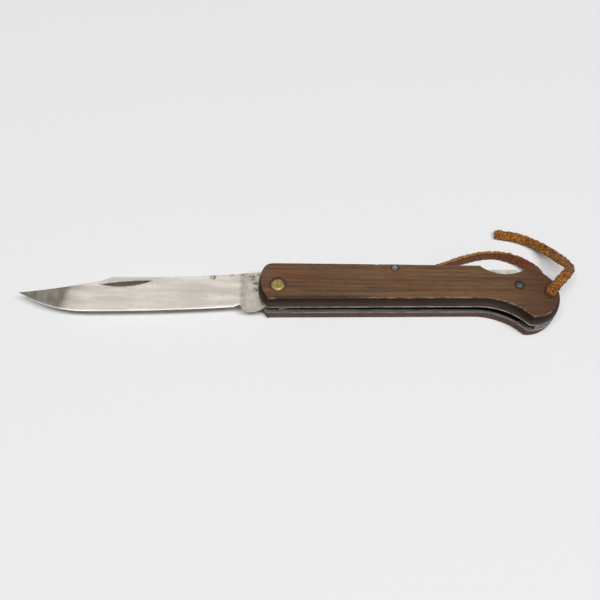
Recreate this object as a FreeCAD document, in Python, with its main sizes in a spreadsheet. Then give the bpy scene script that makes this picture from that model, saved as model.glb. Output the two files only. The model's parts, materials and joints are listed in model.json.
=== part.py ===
import FreeCAD, Part
import math
import os
import Sketcher

# Folding grafting knife with a rocking lock bar, lying flat on its back scale.
# +X runs from the blade's tip to the butt, +Y from the slot side to the spine, +Z up through
# the knife's thickness. Every outline is drawn about the pivot's axis, and each piece's
# Placement then moves it so that the origin is under the middle of the knife without its thong.
# The lock bar is drawn with its thumb pad pressed, so its hook is clear of the tang.

os.makedirs("parts", exist_ok=True)
doc = FreeCAD.newDocument("grafting_knife")
Vector = FreeCAD.Vector

# ---------------------------------------------------------------- driving dimensions, mm
DIMENSIONS = [
    ("scale_thick", 5.7),         # wooden scale
    ("liner_thick", 0.9),        # steel liner
    ("slot_width", 3.8),          # gap between the liners
    ("blade_thick", 2.7),         # blade, lock bar and leaf spring stock
    ("spine_rise", 12.4),         # pivot to the handle's spine
    ("front_top_x", -2.6),        # where the straight spine starts
    ("front_corner_x", -6.8),
    ("front_corner_y", 10.1),
    ("front_round", 16.4),        # rounded front end of the handle
    ("front_top_round", 5.05),
    ("front_low_x", -4.9),
    ("front_low_y", -8.9),
    ("belly_end_x", 93.5),        # end of the straight lower edge
    ("belly_end_y", -7.5),
    ("beak_start_x", 112.5),      # end of the hollow curve before the beak
    ("beak_start_y", -13.6),
    ("beak_hollow_round", 31.0),
    ("notch_start_x", 96.4),      # thumb notch in the spine
    ("notch_round", 16.0),
    ("horn_lean", -1.1),          # horn and beak, from the butt's centre along X
    ("beak_lean", -1.7),
    ("butt_x", 118.3),            # centre of the round butt
    ("butt_y", -3.4),
    ("butt_round", 14.1),
    ("corner_round", 1.5),        # horn, beak and lower front corner
    ("pivot_shaft", 2.5),         # radii of the pins and of their holes
    ("pivot_head", 3.3),
    ("pivot_head_deep", 1.4),
    ("pivot_dome", 0.35),
    ("pivot_face", 2.2),
    ("pin_round", 1.45),
    ("pin_dome", 0.25),
    ("running_gap", 0.05),
    ("fixed_gap", 0.02),
    ("bar_pin_x", 55.1),
    ("bar_pin_y", 10.0),
    ("rear_pin_x", 113.2),
    ("rear_pin_y", 1.0),
    ("thong_hole_x", 126.9),
    ("thong_hole_round", 2.3),
    ("tip_reach", 118.9),         # blade
    ("tip_y", -0.5),
    ("clip_top_x", -77.0),
    ("clip_top_y", 8.15),
    ("clip_ramp_x", -84.0),
    ("clip_ramp_y", 5.4),
    ("clip_ramp_round", 20.0),
    ("clip_round", 260.0),
    ("blade_spine_round", 560.0),
    ("shoulder_x", 0.1),          # open stop, in front of the hook
    ("belly_x", -86.0),           # where the straight edge meets the belly
    ("belly_y", -10.15),
    ("belly_round", 52.95),
    ("edge_round_long", 900.0),
    ("choil_x", -20.3),
    ("choil_y", -7.3),
    ("choil_top_x", -17.6),       # choil and the rounded kick behind it
    ("choil_top_y", -5.9),
    ("kick_front_x", -16.2),
    ("kick_front_y", -8.2),
    ("kick_low_x", -12.5),
    ("kick_low_y", -9.3),
    ("kick_rear_x", -8.5),
    ("kick_rear_y", -8.4),
    ("kick_round", 6.0),
    ("kick_end_x", -5.3),
    ("kick_end_y", -6.5),
    ("tang_round", 8.5),          # tang behind the notch
    ("hook_slack", 0.2),
    ("notch_front_y", 6.95),      # floor of the hook's notch
    ("notch_rear_y", 6.15),
    ("notch_top_y", 7.5),
    ("heel_x", 0.5),              # step under the tang that clears the hook when folded
    ("heel_low_y", -8.48),
    ("heel_top_y", -6.9),
    ("heel_front_x", -3.6),
    ("heel_front_y", -6.05),
    ("plunge_x", -17.0),
    ("grind_top_y", 11.5),
    ("grind_low_y", -10.6),
    ("grind_margin", 1.0),
    ("edge_thick", 0.36),
    ("nick_left_x", -82.3),
    ("nick_left_y", 3.95),
    ("nick_right_x", -58.4),
    ("nick_right_y", 6.15),
    ("nick_top_round", 150.0),
    ("nick_low_round", 36.0),
    ("nick_deep", 0.9),           # below the stock's face, before the grind
    ("hook_front_x", 0.3),        # lock bar
    ("hook_rear_x", 3.8),
    ("hook_round", 8.75),
    ("hook_front_y", 8.745),
    ("hook_rear_y", 7.88),
    ("bar_low_y", 7.2),
    ("bar_hollow_y", 9.95),       # hollow over the folded blade's kick
    ("bar_hollow_end_x", 15.5),
    ("bar_full_x", 21.0),
    ("bar_corner", 0.8),
    ("bar_end_x", 117.6),
    ("pad_rise", 14.4),           # thumb pad
    ("pad_ramp_x", 98.0),
    ("pad_front_x", 101.2),
    ("pad_rear_x", 115.0),
    ("pad_rear_round", 4.0),
    ("pad_end_drop", 1.0),
    ("spring_thick", 0.8),        # leaf spring
    ("spring_root_x", 118.2),
    ("spring_root_y", 2.3),
    ("spring_toe_x", 88.6),
    ("spring_toe_y", 6.2),
    ("toe_gap", 0.05),            # between the toe's crown and the bar
    ("toe_front", 0.5),
    ("toe_round", 0.25),
    ("toe_crown", 0.7),
    ("toe_length", 2.9),
    ("toe_neck", 0.44),
    ("saw_cut_long", 8.0),
    ("spacer_front_x", 119.6),    # butt spacer
    ("spacer_inset", 0.3),
    ("spacer_eye", 2.4),
    ("eye_lean", 1.3),
    ("spacer_well", 3.0),         # hollow round the thong's bend
    ("well_lean", 1.03),
    ("well_front", 3.9),
    ("well_top", 3.6),
    ("well_rear", 2.6),
    ("well_low", 1.5),
    ("rear_low", 3.3),
    ("arm_front", 2.3),           # the arm's reach round the rear pin
    ("arm_top", 3.9),
    ("arm_rear", 4.4),
    ("arm_slope", 3.1),
    ("arm_low", 5.9),
    ("thong_round", 1.2),         # leather thong
]

sheet = doc.addObject("Spreadsheet::Sheet", "Sizes")
for row, (alias, value) in enumerate(DIMENSIONS, start=1):
    sheet.set("A%d" % row, alias)
    sheet.set("B%d" % row, str(value))
    sheet.setAlias("B%d" % row, alias)
doc.recompute()


class Size:
    """A length that knows both its value in mm and the sheet expression that it comes from."""

    def __init__(self, value, text):
        self.value = value
        self.text = text

    def joined(self, sign, other):
        other = as_size(other)
        value = {
            "+": self.value + other.value,
            "-": self.value - other.value,
            "*": self.value * other.value,
        }[sign]
        return Size(value, "(%s %s %s)" % (self.text, sign, other.text))

    def __add__(self, other):
        return self.joined("+", other)

    def __sub__(self, other):
        return self.joined("-", other)

    def __mul__(self, other):
        return self.joined("*", other)

    def __neg__(self):
        return Size(-self.value, "(-1 * %s)" % self.text)


def as_size(number):
    return number if isinstance(number, Size) else Size(float(number), repr(float(number)))


def size(alias):
    return Size(float(sheet.get(alias)), "Sizes.%s" % alias)


# ---------------------------------------------------------------- heights through the knife
back_liner_z = size("scale_thick")
slot_z = back_liner_z + size("liner_thick")
front_liner_z = slot_z + size("slot_width")
front_scale_z = front_liner_z + size("liner_thick")
top_z = front_scale_z + size("scale_thick")
blade_z = slot_z + (size("slot_width") - size("blade_thick")) * 0.5
blade_top_z = blade_z + size("blade_thick")
middle_z = slot_z + size("slot_width") * 0.5

# the pivot's place in the knife's own frame
pivot_x = (size("tip_reach") - size("butt_x") - size("butt_round")) * 0.5
pivot_y = (size("butt_round") - size("butt_y") - size("pad_rise")) * 0.5


# ---------------------------------------------------------------- drawing helpers
def new_body(label):
    """A PartDesign body with its own label, placed so that its drawing origin is the pivot."""
    body = doc.addObject("PartDesign::Body", label)
    body.Label = label
    body.setExpression("Placement.Base.x", pivot_x.text)
    body.setExpression("Placement.Base.y", pivot_y.text)
    return body


def origin_feature(body, role):
    return [f for f in body.Origin.OriginFeatures if f.Role == role][0]


def new_sketch(body, name, height, plane="XY_Plane"):
    """A sketch on one of the body's own planes, lifted along the plane's normal."""
    sketch = body.newObject("Sketcher::SketchObject", name)
    sketch.AttachmentSupport = [(origin_feature(body, plane), "")]
    sketch.MapMode = "FlatFace"
    sketch.setExpression("AttachmentOffset.Base.z", as_size(height).text)
    return sketch


def bind(sketch, constraint, length):
    """Adds a constraint and binds its value to the sheet."""
    index = sketch.addConstraint(constraint)
    sketch.setExpression("Constraints[%d]" % index, length.text)


def arc_middle(start, end, radius, turn):
    """The middle of the shorter arc from start to end: turn 1 bulges right of the way, -1 left."""
    chord = end - start
    half = chord.Length / 2
    rise = radius - math.sqrt(radius * radius - half * half)
    side = Vector(chord.y, -chord.x, 0).normalize()
    return (start + end) * 0.5 + side * (rise * turn)


def draw_outline(sketch, corners):
    """Draws a closed outline. Each corner is (x, y) for a line to the next corner, or
    (x, y, radius, turn) for an arc to it. Every coordinate and radius is bound to the sheet."""
    corners = [tuple(as_size(v) for v in corner[:3]) + tuple(corner[3:]) for corner in corners]
    points = [Vector(corner[0].value, corner[1].value, 0) for corner in corners]
    ends = []
    for number, corner in enumerate(corners):
        start = points[number]
        end = points[(number + 1) % len(points)]
        if len(corner) == 2:
            index = sketch.addGeometry(Part.LineSegment(start, end), False)
        else:
            middle = arc_middle(start, end, corner[2].value, corner[3])
            index = sketch.addGeometry(Part.Arc(start, middle, end), False)
        first = 1 if sketch.getPoint(index, 1).distanceToPoint(start) < 1e-6 else 2
        ends.append((index, first, 3 - first))
    for number, corner in enumerate(corners):
        index, first, last = ends[number]
        following, following_first, _ = ends[(number + 1) % len(ends)]
        sketch.addConstraint(
            Sketcher.Constraint("Coincident", index, last, following, following_first)
        )
        x, y = corner[0], corner[1]
        bind(sketch, Sketcher.Constraint("DistanceX", -1, 1, index, first, x.value), x)
        bind(sketch, Sketcher.Constraint("DistanceY", -1, 1, index, first, y.value), y)
        if len(corner) > 2:
            bind(sketch, Sketcher.Constraint("Radius", index, corner[2].value), corner[2])


def draw_hole(sketch, x, y, radius):
    x, y, radius = as_size(x), as_size(y), as_size(radius)
    centre = Vector(x.value, y.value, 0)
    circle = Part.Circle(centre, Vector(0, 0, 1), radius.value)
    index = sketch.addGeometry(circle, False)
    bind(sketch, Sketcher.Constraint("DistanceX", -1, 1, index, 3, x.value), x)
    bind(sketch, Sketcher.Constraint("DistanceY", -1, 1, index, 3, y.value), y)
    bind(sketch, Sketcher.Constraint("Radius", index, radius.value), radius)


def pad(body, name, sketch, length):
    feature = body.newObject("PartDesign::Pad", name)
    feature.Profile = sketch
    feature.setExpression("Length", as_size(length).text)
    doc.recompute()
    return feature


def pocket(body, name, sketch, length):
    """Cuts the sketch's shape out of the body, on whichever side of the sketch the solid is."""
    before = body.Shape.Volume
    feature = body.newObject("PartDesign::Pocket", name)
    feature.Profile = sketch
    feature.setExpression("Length", as_size(length).text)
    doc.recompute()
    if feature.Shape.isNull() or before - feature.Shape.Volume < 1e-3:
        feature.Reversed = True
        doc.recompute()
    if before - body.Shape.Volume < 1e-3:
        raise RuntimeError("pocket %s of %s cuts nothing" % (name, body.Label))
    return feature


def fillet(body, name, base, edges, radius):
    feature = body.newObject("PartDesign::Fillet", name)
    feature.Base = (base, edges)
    feature.setExpression("Radius", as_size(radius).text)
    doc.recompute()
    return feature


def upright_edges(shape, corners):
    """Names of the edges that stand upright at the given corners, in drawing coordinates."""
    names = []
    for number, edge in enumerate(shape.Edges, start=1):
        first, last = edge.Vertexes[0].Point, edge.Vertexes[-1].Point
        upright = math.hypot(first.x - last.x, first.y - last.y) < 1e-4
        near = any(math.hypot(first.x - x, first.y - y) < 0.01 for x, y in corners)
        if upright and near and first != last:
            names.append("Edge%d" % number)
    return names


# ---------------------------------------------------------------- handle: scales and liners
def circle_rise(radius, offset):
    """How high a circle stands above its centre at an offset along X."""
    value = math.sqrt(radius.value ** 2 - offset.value ** 2)
    text = "sqrt(%s * %s - %s * %s)" % (radius.text, radius.text, offset.text, offset.text)
    return Size(value, text)


horn_x = size("butt_x") + size("horn_lean")
horn_y = size("butt_y") + circle_rise(size("butt_round"), size("horn_lean"))
beak_x = size("butt_x") + size("beak_lean")
beak_y = size("butt_y") - circle_rise(size("butt_round"), size("beak_lean"))


def handle_corners():
    """The handle's side outline, shared by both scales and both liners, clockwise."""
    rise = size("spine_rise")
    return [
        (size("front_top_x"), rise),
        (size("notch_start_x"), rise, size("notch_round"), 1),
        (horn_x, horn_y, size("butt_round"), -1),
        (size("butt_x") + size("butt_round"), size("butt_y"), size("butt_round"), -1),
        (beak_x, beak_y),
        (size("beak_start_x"), size("beak_start_y"), size("beak_hollow_round"), 1),
        (size("belly_end_x"), size("belly_end_y")),
        (size("front_low_x"), size("front_low_y"), size("front_round"), -1),
        (size("front_corner_x"), size("front_corner_y"), size("front_top_round"), -1),
    ]


PINS = [
    (size("bar_pin_x"), size("bar_pin_y")),
    (size("rear_pin_x"), size("rear_pin_y")),
]


def draw_handle_plate(body, height, thickness):
    """An outlined plate with the holes for the pins, the pivot and the thong."""
    sketch = new_sketch(body, "outline_" + body.Label, height)
    draw_outline(sketch, handle_corners())
    draw_hole(sketch, 0, 0, size("pivot_shaft") + size("fixed_gap"))
    for x, y in PINS:
        draw_hole(sketch, x, y, size("pin_round") + size("fixed_gap"))
    draw_hole(sketch, size("thong_hole_x"), size("butt_y"), size("thong_hole_round"))
    plate = pad(body, "plate_" + body.Label, sketch, thickness)
    corners = [
        (horn_x.value, horn_y.value),
        (beak_x.value, beak_y.value),
        (size("front_low_x").value, size("front_low_y").value),
    ]
    names = upright_edges(plate.Shape, corners)
    return fillet(body, "corners_" + body.Label, plate, names, size("corner_round"))


def make_liner(label, height):
    body = new_body(label)
    draw_handle_plate(body, height, size("liner_thick"))
    return body


def make_scale(label, height, outer_height):
    """A wooden scale with a sunk seat for the pivot's spun head in its outer face."""
    body = new_body(label)
    draw_handle_plate(body, height, size("scale_thick"))
    seat = new_sketch(body, "head_seat_" + label, outer_height)
    draw_hole(seat, 0, 0, size("pivot_head") + size("fixed_gap"))
    pocket(body, "head_pocket_" + label, seat, size("pivot_head_deep"))
    return body


# ---------------------------------------------------------------- blade
def make_blade():
    """Clip-point blade: the tang carries the open stop, the hook's notch and a relieved heel."""
    body = new_body("blade")
    profile = new_sketch(body, "blade_outline", blade_z)
    notch_rear_x = size("hook_rear_x") + size("hook_slack")
    draw_outline(profile, [
        (-size("tip_reach"), size("tip_y"), size("clip_round"), 1),
        (size("clip_ramp_x"), size("clip_ramp_y"), size("clip_ramp_round"), 1),
        (size("clip_top_x"), size("clip_top_y"), size("blade_spine_round"), 1),
        (size("shoulder_x"), size("spine_rise")),
        (size("shoulder_x"), size("notch_front_y")),
        (notch_rear_x, size("notch_rear_y")),
        (notch_rear_x, size("notch_top_y"), size("tang_round"), -1),
        (size("tang_round"), 0, size("tang_round"), -1),
        (size("heel_x"), size("heel_low_y")),
        (size("heel_x"), size("heel_top_y")),
        (size("heel_front_x"), size("heel_front_y")),
        (size("kick_end_x"), size("kick_end_y")),
        (size("kick_rear_x"), size("kick_rear_y"), size("kick_round"), -1),
        (size("kick_low_x"), size("kick_low_y"), size("kick_round"), -1),
        (size("kick_front_x"), size("kick_front_y")),
        (size("choil_top_x"), size("choil_top_y")),
        (size("choil_x"), size("choil_y"), size("edge_round_long"), -1),
        (size("belly_x"), size("belly_y"), size("belly_round"), -1),
    ])
    draw_hole(profile, 0, 0, size("pivot_shaft") + size("running_gap"))
    pad(body, "blade_stock", profile, size("blade_thick"))
    grind_blade(body)
    cut_nail_nick(body)
    return body


def grind_blade(body):
    """Flat grinds on both faces, from the plunge to the tip."""
    cut = new_sketch(body, "grind_section", size("plunge_x"), plane="YZ_Plane")
    half_edge = size("edge_thick") * 0.5
    half = size("blade_thick") * 0.5
    beyond = half + size("grind_margin")
    below = size("grind_low_y") - size("grind_margin")
    for side in (1, -1):
        draw_outline(cut, [
            (size("grind_top_y"), middle_z + half * side),
            (size("grind_low_y"), middle_z + half_edge * side),
            (below, middle_z + half_edge * side),
            (below, middle_z + beyond * side),
            (size("grind_top_y"), middle_z + beyond * side),
        ])
    pocket(body, "flat_grind", cut, size("tip_reach"))


def cut_nail_nick(body):
    """Crescent groove for the thumbnail in the front face."""
    nick = new_sketch(body, "nick_outline", blade_top_z)
    draw_outline(nick, [
        (size("nick_left_x"), size("nick_left_y"), size("nick_low_round"), 1),
        (size("nick_right_x"), size("nick_right_y"), size("nick_top_round"), 1),
    ])
    pocket(body, "nail_nick", nick, size("nick_deep"))


# ---------------------------------------------------------------- lock bar and its spring
def make_lock_bar():
    """Rocking bar: hook over the tang in front, thumb pad in the notch behind."""
    body = new_body("lock_bar")
    profile = new_sketch(body, "bar_outline", blade_z)
    rise = size("spine_rise")
    low = size("bar_low_y")
    hollow = size("bar_hollow_y")
    corner = size("bar_corner")
    draw_outline(profile, [
        (size("hook_front_x"), rise),
        (size("pad_ramp_x"), rise),
        (size("pad_front_x"), size("pad_rise")),
        (size("pad_rear_x"), size("pad_rise"), size("pad_rear_round"), -1),
        (size("bar_end_x"), rise - size("pad_end_drop")),
        (size("bar_end_x"), low + corner, corner, -1),
        (size("bar_end_x") - corner, low),
        (size("bar_full_x"), low),
        (size("bar_hollow_end_x"), hollow),
        (size("hook_rear_x") + corner, hollow),
        (size("hook_rear_x"), hollow - corner),
        (size("hook_rear_x"), size("hook_rear_y"), size("hook_round"), 1),
        (size("hook_front_x"), size("hook_front_y")),
    ])
    draw_hole(profile, *PINS[0], size("pin_round") + size("running_gap"))
    pad(body, "bar_stock", profile, size("blade_thick"))
    return body


def leaf_rise(length):
    """How much the leaf's underside rises over a length from its root."""
    low, high = size("spring_root_y"), size("spring_toe_y")
    near, far = size("spring_toe_x"), size("spring_root_x")
    value = (high.value - low.value) / (far.value - near.value) * length.value
    text = "(%s - %s) / (%s - %s) * %s" % (high.text, low.text, far.text, near.text, length.text)
    return Size(value, "(%s)" % text)


def make_lock_spring():
    """Leaf whose root sits in the spacer's saw cut and whose toe bears under the bar."""
    body = new_body("lock_spring")
    profile = new_sketch(body, "leaf_outline", blade_z)
    root_x, root_y = size("spring_root_x"), size("spring_root_y")
    toe_x, toe_y = size("spring_toe_x"), size("spring_toe_y")
    toe_top = size("bar_low_y") - size("toe_gap")
    draw_outline(profile, [
        (root_x, root_y),
        (toe_x, toe_y),
        (toe_x - size("toe_front"), toe_top - size("toe_round")),
        (toe_x, toe_top),
        (toe_x + size("toe_crown"), toe_top),
        (toe_x + size("toe_length"), toe_y + size("toe_neck")),
        (root_x, root_y + size("spring_thick")),
    ])
    pad(body, "leaf", profile, size("blade_thick"))
    return body


# ---------------------------------------------------------------- butt spacer
def make_butt_spacer():
    """Fills the beak between the liners, with an arm to the rear pin that grips the spring."""
    body = new_body("butt_spacer")
    profile = new_sketch(body, "spacer_outline", slot_z)
    pin_x, pin_y = PINS[1]
    eye = size("spacer_eye")
    hole_x, hole_y = size("thong_hole_x"), size("butt_y")
    outer = size("butt_round") - size("spacer_inset")
    front_x = size("spacer_front_x")
    front_drop = circle_rise(outer, front_x - size("butt_x"))
    rear_x = size("butt_x") + circle_rise(outer, size("rear_low"))
    well = size("spacer_well")
    well_x, well_y = hole_x - circle_rise(well, size("well_lean")), hole_y - size("well_lean")
    draw_outline(profile, [
        (pin_x - size("arm_front"), pin_y + size("arm_top")),
        (pin_x + size("arm_rear"), pin_y + size("arm_slope")),
        (hole_x - size("well_front"), hole_y + size("well_top")),
        (well_x, well_y, well, 1),
        (hole_x + size("well_rear"), hole_y - size("well_low")),
        (rear_x, hole_y - size("rear_low"), outer, -1),
        (front_x, size("butt_y") - front_drop),
        (front_x, pin_y - size("arm_low")),
        (pin_x + size("eye_lean"), pin_y - circle_rise(eye, size("eye_lean")), eye, -1),
        (pin_x - eye, pin_y),
    ])
    draw_hole(profile, pin_x, pin_y, size("pin_round") + size("fixed_gap"))
    pad(body, "spacer_block", profile, size("slot_width"))
    cut_spring_seat(body)
    return body


def cut_spring_seat(body):
    """The saw cut that holds the leaf's root."""
    seat = new_sketch(body, "spring_seat", slot_z)
    slack = size("fixed_gap")
    root_x, root_y = size("spring_root_x"), size("spring_root_y")
    front = size("saw_cut_long")
    rise = leaf_rise(front)
    over = root_y + size("spring_thick") + slack
    draw_outline(seat, [
        (root_x + slack, root_y - slack),
        (root_x - front, root_y - slack + rise),
        (root_x - front, over + rise + slack),
        (root_x + slack, over),
    ])
    pocket(body, "spring_saw_cut", seat, size("slot_width"))


# ---------------------------------------------------------------- pins
def make_pivot_pin():
    """Brass rivet turned about Z: a shaft between two spun, slightly domed heads."""
    body = new_body("pivot_pin")
    section = new_sketch(body, "pivot_section", 0, plane="XZ_Plane")
    head, shaft = size("pivot_head"), size("pivot_shaft")
    face, deep, dome = size("pivot_face"), size("pivot_head_deep"), size("pivot_dome")
    draw_outline(section, [
        (0, 0),
        (face, 0),
        (head, dome),
        (head, deep),
        (shaft, deep),
        (shaft, top_z - deep),
        (head, top_z - deep),
        (head, top_z - dome),
        (face, top_z),
        (0, top_z),
    ])
    turned = body.newObject("PartDesign::Revolution", "turned_pivot")
    turned.Profile = section
    turned.ReferenceAxis = (origin_feature(body, "Z_Axis"), [""])
    turned.Angle = 360
    doc.recompute()
    return body


def make_pin(label, x, y):
    """Plain steel pin through the whole handle, its ends peened to a low dome."""
    body = new_body(label)
    section = new_sketch(body, "section_" + label, 0)
    draw_hole(section, x, y, size("pin_round"))
    rod = pad(body, "rod_" + label, section, top_z)
    rims = ["Edge%d" % n for n, edge in enumerate(rod.Shape.Edges, start=1) if edge.isClosed()]
    fillet(body, "peened_" + label, rod, rims, size("pin_dome"))
    return body


# ---------------------------------------------------------------- leather thong
# The thong's route about the pivot, mm. It comes up through the lanyard hole in the front
# scale, folds sharply past the spine and runs down to the surface behind the knife.
FRONT_TAIL = [
    (126.9, 3.7, 8.5),
    (126.9, -3.4, 8.5),
    (126.9, -3.4, 18.6),
    (131.6, 1.9, 19.0),
    (140.0, 10.3, 17.2),
    (138.8, 16.7, 13.4),
    (136.8, 23.5, 9.2),
    (134.2, 29.5, 5.8),
    (130.4, 34.7, 3.6),
    (125.4, 38.3, 2.6),
    (118.8, 40.7, 2.1),
    (111.2, 41.7, 2.0),
]
# The other end leaves between the liners behind the horn and lies in an arc behind the spine.
BACK_TAIL = [
    (126.9, 3.7, 8.5),
    (126.9, 9.5, 8.5),
    (127.2, 15.0, 7.4),
    (124.7, 20.1, 5.0),
    (120.7, 24.3, 3.4),
    (115.5, 27.1, 2.7),
    (109.5, 28.4, 2.5),
    (103.5, 28.1, 2.5),
    (97.3, 26.6, 2.5),
    (91.0, 24.5, 2.5),
    (84.5, 22.0, 2.5),
    (77.8, 19.1, 2.5),
    (71.2, 16.0, 2.5),
]
ARC_SHARE = 0.45


def tangent_arc(before, corner, after):
    """Ends and middle of the arc that rounds a corner of the route, and its radius."""
    come, leave = corner - before, after - corner
    turn = come.getAngle(leave)
    reach = ARC_SHARE * min(come.Length, leave.Length)
    radius = reach / math.tan(turn / 2)
    start = corner - Vector(come).normalize() * reach
    end = corner + Vector(leave).normalize() * reach
    inward = (start + end) * 0.5 - corner
    middle = corner + inward.normalize() * (radius / math.cos(turn / 2) - radius)
    return start, middle, end, radius


def make_thong(label, route):
    """A round tube along straight runs joined by tangent arcs."""
    corners = [Vector(*point) for point in route]
    edges, radii = [], []
    here = corners[0]
    for before, corner, after in zip(corners, corners[1:], corners[2:]):
        start, middle, end, radius = tangent_arc(before, corner, after)
        edges.append(Part.LineSegment(here, start).toShape())
        edges.append(Part.Arc(start, middle, end).toShape())
        radii.append(radius)
        here = end
    edges.append(Part.LineSegment(here, corners[-1]).toShape())
    path = Part.Wire(edges)
    thong_radius = size("thong_round").value
    section = Part.Wire(Part.makeCircle(thong_radius, corners[0], corners[1] - corners[0]))
    tube = path.makePipeShell([section], True, True)
    wanted = math.pi * thong_radius ** 2 * path.Length
    if abs(tube.Volume - wanted) > 0.02 * wanted:
        raise RuntimeError("%s has volume %.1f, not %.1f" % (label, tube.Volume, wanted))
    piece = doc.addObject("Part::Feature", label)
    piece.Label = label
    piece.Shape = tube
    piece.Placement = FreeCAD.Placement(
        Vector(pivot_x.value, pivot_y.value, 0), FreeCAD.Rotation()
    )
    lowest = tube.BoundBox.ZMin
    print("%s: length %.1f, lowest point %.3f, arc radii %s"
          % (label, path.Length, lowest, ["%.1f" % radius for radius in radii]))
    return piece


# ---------------------------------------------------------------- the whole knife
pieces = [
    make_scale("back_scale", as_size(0), as_size(0)),
    make_liner("back_liner", back_liner_z),
    make_liner("front_liner", front_liner_z),
    make_scale("front_scale", front_scale_z, top_z),
    make_blade(),
    make_lock_bar(),
    make_lock_spring(),
    make_butt_spacer(),
    make_pivot_pin(),
    make_pin("lock_bar_pin", *PINS[0]),
    make_pin("rear_pin", *PINS[1]),
    make_thong("thong_front_tail", FRONT_TAIL),
    make_thong("thong_back_tail", BACK_TAIL),
]
doc.recompute()

for thing in doc.Objects:
    if "Invalid" in thing.State or "Error" in thing.State:
        raise RuntimeError("%s did not compute: %s" % (thing.Label, thing.State))
for piece in pieces:
    if piece.Shape.isNull() or not piece.Shape.isValid():
        raise RuntimeError("%s has no valid shape" % piece.Label)

whole = FreeCAD.BoundBox()
for piece in pieces:
    piece.Shape.exportStep("parts/%s.step" % piece.Label)
    print("%-18s %8.1f mm3, %d solid" % (piece.Label, piece.Shape.Volume, len(piece.Shape.Solids)))
    if not piece.Label.startswith("thong"):
        whole.add(piece.Shape.optimalBoundingBox(False))
print("knife without thong: X %.2f %.2f, Y %.2f %.2f, Z %.2f %.2f"
      % (whole.XMin, whole.XMax, whole.YMin, whole.YMax, whole.ZMin, whole.ZMax))
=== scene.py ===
import json
import math
import random

import bmesh
import bpy
import numpy as np
from mathutils import Matrix, Vector, noise
from mathutils.geometry import delaunay_2d_cdt


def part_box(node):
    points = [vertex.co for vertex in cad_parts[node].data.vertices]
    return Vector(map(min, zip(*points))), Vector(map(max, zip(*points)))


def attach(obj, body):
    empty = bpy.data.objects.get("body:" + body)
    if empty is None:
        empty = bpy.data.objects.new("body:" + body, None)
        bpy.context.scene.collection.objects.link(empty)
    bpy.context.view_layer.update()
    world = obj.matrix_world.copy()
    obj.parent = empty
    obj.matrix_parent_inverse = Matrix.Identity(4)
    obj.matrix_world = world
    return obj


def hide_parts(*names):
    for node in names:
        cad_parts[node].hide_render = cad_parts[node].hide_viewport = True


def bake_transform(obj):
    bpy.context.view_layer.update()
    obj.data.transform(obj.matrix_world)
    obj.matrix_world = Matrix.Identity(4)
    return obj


# Folding grafting knife, open, on a pale surface. Lengths are in metres, except that materials work
# in millimetres. Points "about the pivot" are measured from the pivot's axis, as the knife is
# drawn, +X to the butt, +Y to the spine.
MM = 0.001
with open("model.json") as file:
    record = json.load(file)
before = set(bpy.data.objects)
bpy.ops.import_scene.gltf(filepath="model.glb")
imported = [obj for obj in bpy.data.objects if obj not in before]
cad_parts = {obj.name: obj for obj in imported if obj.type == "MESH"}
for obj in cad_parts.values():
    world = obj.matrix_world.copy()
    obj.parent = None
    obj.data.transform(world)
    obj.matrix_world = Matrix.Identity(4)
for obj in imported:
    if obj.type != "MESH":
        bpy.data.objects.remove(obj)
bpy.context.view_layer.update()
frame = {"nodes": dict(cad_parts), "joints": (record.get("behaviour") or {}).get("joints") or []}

PIVOT = next(Vector(joint["pos_m"]) for joint in frame["joints"] if joint["name"] == "blade_fold")
LANYARD_HOLE = (0.1269, -0.0034)


def about_pivot(x, y, z):
    """A point given in metres about the pivot's foot, as a point of the frame."""
    return Vector((PIVOT.x + x, PIVOT.y + y, z))


def mm_from_pivot(distance):
    """The X, in millimetres, of what lies this many millimetres behind the pivot."""
    return PIVOT.x / MM + distance


def smoothstep(low, high, values):
    """Shares that ease from 0 at low to 1 at high."""
    share = np.clip((values - low) / (high - low), 0, 1)
    return share * share * (3 - 2 * share)


# ---------------------------------------------------------------- camera
CAMERA_LENS = 49.5  # millimetres, on a sensor 36 mm wide
CAMERA_PLACE = (-0.01147, -0.21022, 0.33246)  # about the pivot
CAMERA_ANGLES = (-6.07, 32.73, 5.64)  # degrees: turn about the upright, tilt, roll


def make_camera():
    data = bpy.data.cameras.new("camera")
    data.lens = CAMERA_LENS
    data.sensor_width = 36.0
    data.clip_start = 0.01
    camera = bpy.data.objects.new("camera", data)
    bpy.context.scene.collection.objects.link(camera)
    turn, tilt, roll = (math.radians(angle) for angle in CAMERA_ANGLES)
    turned = Matrix.Rotation(turn, 4, "Z") @ Matrix.Rotation(tilt, 4, "X")
    place = Matrix.Translation(about_pivot(*CAMERA_PLACE))
    camera.matrix_world = place @ turned @ Matrix.Rotation(roll, 4, "Z")
    bpy.context.scene.camera = camera


# ---------------------------------------------------------------- leather thong
# Each tail's route about the pivot, and which way the lace's width points at each of its points.
FRONT_TAIL = [
    ((0.1269, 0.0037, 0.0085), (1.0, 0.0, 0.0)),
    ((0.1269, -0.0034, 0.0085), (1.0, -0.1, 0.0)),
    ((0.1269, -0.0034, 0.0186), (0.9, -0.6, 0.0)),
    ((0.1316, 0.0019, 0.0190), (0.75, -0.65, -0.1)),
    ((0.1400, 0.0103, 0.0172), (0.85, -0.3, -0.1)),
    ((0.1388, 0.0167, 0.0134), (0.90, 0.25, 0.15)),
    ((0.1368, 0.0235, 0.0092), (0.75, 0.40, 0.40)),
    ((0.1342, 0.0295, 0.0058), (0.55, 0.50, 0.50)),
    ((0.1304, 0.0347, 0.0036), (0.38, 0.62, 0.50)),
    ((0.1254, 0.0383, 0.0026), (0.28, 0.85, 0.35)),
    ((0.1188, 0.0407, 0.0021), (0.20, 0.95, 0.15)),
    ((0.1112, 0.0417, 0.0020), (0.10, 1.00, 0.05)),
]
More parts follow.
